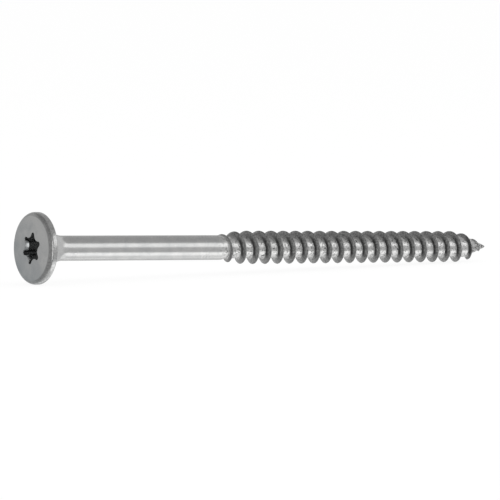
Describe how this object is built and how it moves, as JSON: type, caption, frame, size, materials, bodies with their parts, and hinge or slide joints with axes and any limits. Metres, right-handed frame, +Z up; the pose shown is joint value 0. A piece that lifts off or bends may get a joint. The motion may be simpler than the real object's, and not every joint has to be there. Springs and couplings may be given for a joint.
{
  "type": "construction screw",
  "caption": "Long timber-construction screw with a flat disc head, lobed drive recess, coned neck, smooth shank and coarse right-hand thread down to a sharp point.",
  "frame": {"origin": "on the surface that the screw lies on, under the middle of its box", "axes": "+X along the lying screw from its head towards its point, +Z up; the screw's own axis dips 2.17 degrees from +X, because it lies on its head's rim and on its thread"},
  "size_m": [0.1002, 0.0126, 0.0127],
  "materials": {
    "zinc_plated_steel": "bright electro-galvanised zinc on hardened steel wire, satin, slightly mottled"
  },
  "bodies": {
    "root": {"screw": "zinc_plated_steel"}
  },
  "joints": []
}
